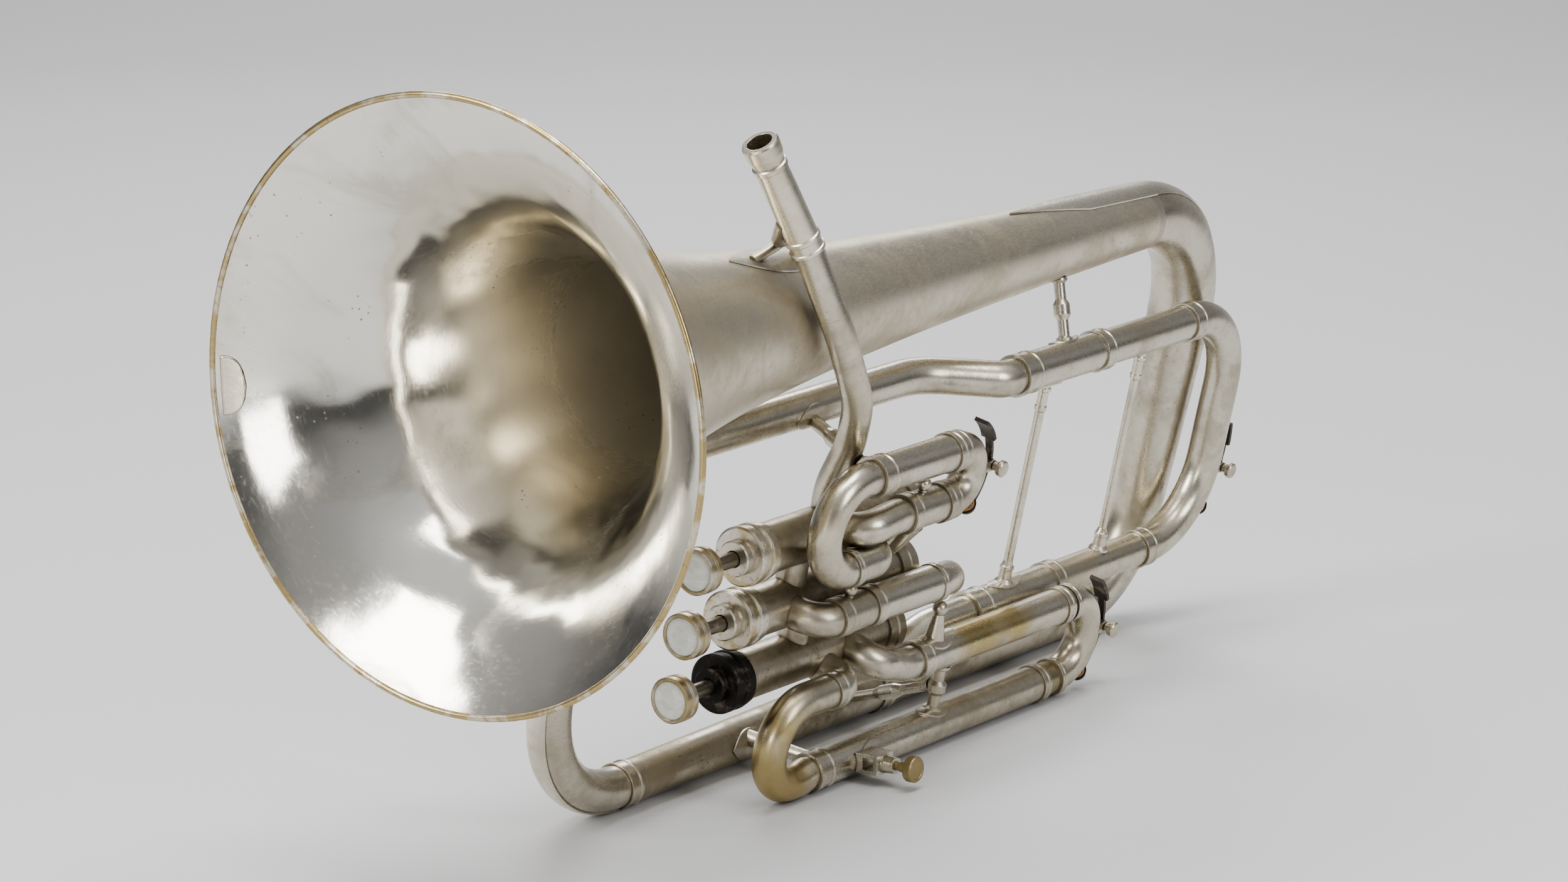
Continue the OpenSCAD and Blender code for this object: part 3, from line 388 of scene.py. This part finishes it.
def dent(x, angle):
    """How far the old sheet metal is pushed in at a place on the bell, in metres."""
    r = bell_radius(x)
    p = Vector((x * 26, math.cos(angle) * r * 26, math.sin(angle) * r * 26))
    soft = (noise.noise(p) + 0.55 * noise.noise(p * 2.3 + Vector((3, 7, 1)))) * 0.5 + 0.5
    ring = math.exp(-((x - 0.040) / 0.026) ** 2)
    flare = math.exp(-((x - 0.014) / 0.020) ** 2)
    depth = 0.00022 + 0.00125 * ring + 0.00042 * flare
    return max(0.0, min(1.0, soft)) * depth * min(1.0, x / 0.004)


def bell_sheet():
    """Closed sheet: out along the outside from the mouth, back along the inside."""
    around, along = 240, 130
    verts, faces = [], []
    xs = [BELL_LEN * (i / along) ** 1.9 for i in range(along + 1)]
    rings = [(x, 0.0) for x in xs] + [(x, SHEET) for x in reversed(xs)]
    for x, inset in rings:
        for k in range(around):
            a = 2 * math.pi * k / around
            r = bell_radius(x) - inset - dent(x, a)
            verts.append((MOUTH_X + x, r * math.cos(a), AXIS_Z + r * math.sin(a)))
    count = len(rings)
    for i in range(count):
        for k in range(around):
            j, n = (i + 1) % count, (k + 1) % around
            faces.append((i * around + k, j * around + k, j * around + n, i * around + n))
    obj = mesh_object("bell_sheet", verts, faces, BELL_OUT, BELL_IN)
    for p in obj.data.polygons:
        p.material_index = 1 if p.index // around > along else 0
    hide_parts("bell")
    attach(obj, "instrument")


def rim_patch():
    """Small half-round repair plate soldered inside the rim."""
    verts, faces = [], []
    rows, cols = 10, 20
    centre = math.radians(-3)
    for i in range(rows + 1):
        v = i / rows
        x = 0.0012 + 0.0052 * v
        half = 0.0135 * math.sqrt(max(0.0, 1 - v ** 2.6)) + 0.0004
        for k in range(cols + 1):
            u = -1 + 2 * k / cols
            a = centre + u * half / bell_radius(x)
            r = bell_radius(x) - SHEET - dent(x, a) - 0.0007 * (1 - u * u * 0.5)
            verts.append((MOUTH_X + x, r * math.cos(a), AXIS_Z + r * math.sin(a)))
    for i in range(rows):
        for k in range(cols):
            a = i * (cols + 1) + k
            faces.append((a, a + 1, a + cols + 2, a + cols + 1))
    obj = mesh_object("rim_repair_plate", verts, faces, SILVER_BRIGHT)
    thick = obj.modifiers.new("thick", "SOLIDIFY")
    thick.thickness = 0.0006
    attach(obj, "instrument")


def spring_coil(number):
    """Coil that takes the place of the ring stack under a piston."""
    lo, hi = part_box(f"valve_spring_{number}")
    cy, cz = (lo.y + hi.y) / 2, (lo.z + hi.z) / 2
    wire = 0.00055
    r = (hi.y - lo.y) / 2 - wire
    turns, per, side = 8, 28, 8
    n = turns * per
    verts, faces = [], []
    for i in range(n + 1):
        t = i / n
        a = 2 * math.pi * turns * t
        x = lo.x + wire + (hi.x - lo.x - 2 * wire) * t
        for s in range(side):
            b = 2 * math.pi * s / side
            rr = r + wire * math.cos(b)
            verts.append((x + wire * math.sin(b), cy + rr * math.cos(a), cz + rr * math.sin(a)))
    for i in range(n):
        for s in range(side):
            q = (s + 1) % side
            faces.append((i * side + s, i * side + q, (i + 1) * side + q, (i + 1) * side + s))
    faces.append(tuple(range(side)))
    faces.append(tuple(n * side + s for s in reversed(range(side))))
    obj = mesh_object(f"spring_coil_{number}", verts, faces, PISTON)
    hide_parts(f"valve_spring_{number}")
    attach(obj, "instrument")
    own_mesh(obj)


bell_sheet()
rim_patch()
for number in (1, 2, 3):
    spring_coil(number)


# ---------- floor, light and camera ----------

def stage_floor():
    """Pale floor that rolls up into a backdrop."""
    back_way = Vector((*CAMERA_LOOKS[:2], 0)).normalized()
    side_way = Vector((-back_way.y, back_way.x, 0))
    profile = []
    for i in range(9):
        profile.append((-6 + 8.2 * i / 8, 0.0))
    for i in range(1, 17):
        a = math.pi / 2 * i / 16
        profile.append((2.2 + 1.6 * math.sin(a), 1.6 * (1 - math.cos(a))))
    profile.append((3.8, 6.0))
    verts, faces = [], []
    for u, z in profile:
        for w in (-7, -3, 0, 3, 7):
            p = back_way * u + side_way * w
            verts.append((p.x, p.y, z - 0.0002))
    for i in range(len(profile) - 1):
        for k in range(4):
            a = i * 5 + k
            faces.append((a, a + 1, a + 6, a + 5))
    g = Graph("studio_paper")
    tone = g.noise(0.8, 3)
    g.put(g.p.inputs["Base Color"], g.mix(tone, (0.585, 0.585, 0.59), (0.62, 0.62, 0.625)))
    g.p.inputs["Roughness"].default_value = 0.75
    g.put(g.p.inputs["Normal"], g.bump(g.noise(300, 4), 0.02, 0.0005))
    obj = mesh_object("studio_floor", verts, faces, g.mat)


stage_floor()


def area_light(name, at, aim, width, height, power, color=(1, 1, 1)):
    data = bpy.data.lights.new(name, "AREA")
    data.energy, data.color = power, color
    data.shape, data.size, data.size_y = "RECTANGLE", width, height
    obj = bpy.data.objects.new(name, data)
    SCENE.collection.objects.link(obj)
    obj.location = at
    obj.rotation_mode = "QUATERNION"
    obj.rotation_quaternion = (Vector(aim) - Vector(at)).to_track_quat("-Z", "Y")


area_light("key_left", (-1.9, 0.9, 1.5), (-0.1, 0, 0.2), 1.0, 1.3, 33, (1.0, 0.985, 0.96))
area_light("overhead", (-0.1, -0.2, 2.4), (0, 0, 0.2), 1.7, 1.3, 40)
area_light("front_right", (-0.2, -2.4, 1.3), (0.05, 0, 0.2), 0.9, 1.2, 20)
area_light("low_front", (-2.2, -0.6, 0.35), (-0.2, 0, 0.15), 0.6, 0.5, 6, (1, 0.98, 0.95))
area_light("behind", (1.6, 1.4, 1.6), (0.1, 0, 0.2), 1.2, 1.0, 18)

# Soft studio surroundings: dim at the horizon, bright overhead
world = bpy.data.worlds.new("studio")
SCENE.world = world
world.use_nodes = True
wt = world.node_tree
wt.nodes.clear()
w_out = wt.nodes.new("ShaderNodeOutputWorld")
w_bg = wt.nodes.new("ShaderNodeBackground")
w_co = wt.nodes.new("ShaderNodeTexCoord")
w_xyz = wt.nodes.new("ShaderNodeSeparateXYZ")
w_ramp = wt.nodes.new("ShaderNodeValToRGB")
w_map = wt.nodes.new("ShaderNodeMapRange")
w_map.inputs["From Min"].default_value = -1
wt.links.new(w_co.outputs["Generated"], w_xyz.inputs[0])
wt.links.new(w_xyz.outputs["Z"], w_map.inputs["Value"])
wt.links.new(w_map.outputs[0], w_ramp.inputs[0])
wt.links.new(w_ramp.outputs[0], w_bg.inputs[0])
wt.links.new(w_bg.outputs[0], w_out.inputs[0])
stops = w_ramp.color_ramp.elements
stops[0].position, stops[0].color = 0.47, (0.11, 0.11, 0.112, 1)
stops[1].position, stops[1].color = 0.95, (0.95, 0.95, 0.96, 1)
for place, tone in ((0.56, 0.15), (0.66, 0.42), (0.80, 0.55)):
    w_ramp.color_ramp.elements.new(place).color = (tone, tone, tone * 1.02, 1)
w_bg.inputs["Strength"].default_value = 0.75

cam_data = bpy.data.cameras.new("camera")
cam_data.sensor_width = 36
cam_data.lens = CAMERA_LENS
cam = bpy.data.objects.new("camera", cam_data)
SCENE.collection.objects.link(cam)
cam.location = CAMERA_AT
cam.rotation_mode = "QUATERNION"
cam.rotation_quaternion = Vector(CAMERA_LOOKS).to_track_quat("-Z", "Y")
cam_data.clip_start, cam_data.clip_end = 0.05, 60
SCENE.camera = cam

SCENE.view_settings.view_transform = "AgX"
SCENE.view_settings.look = "AgX - Medium High Contrast"
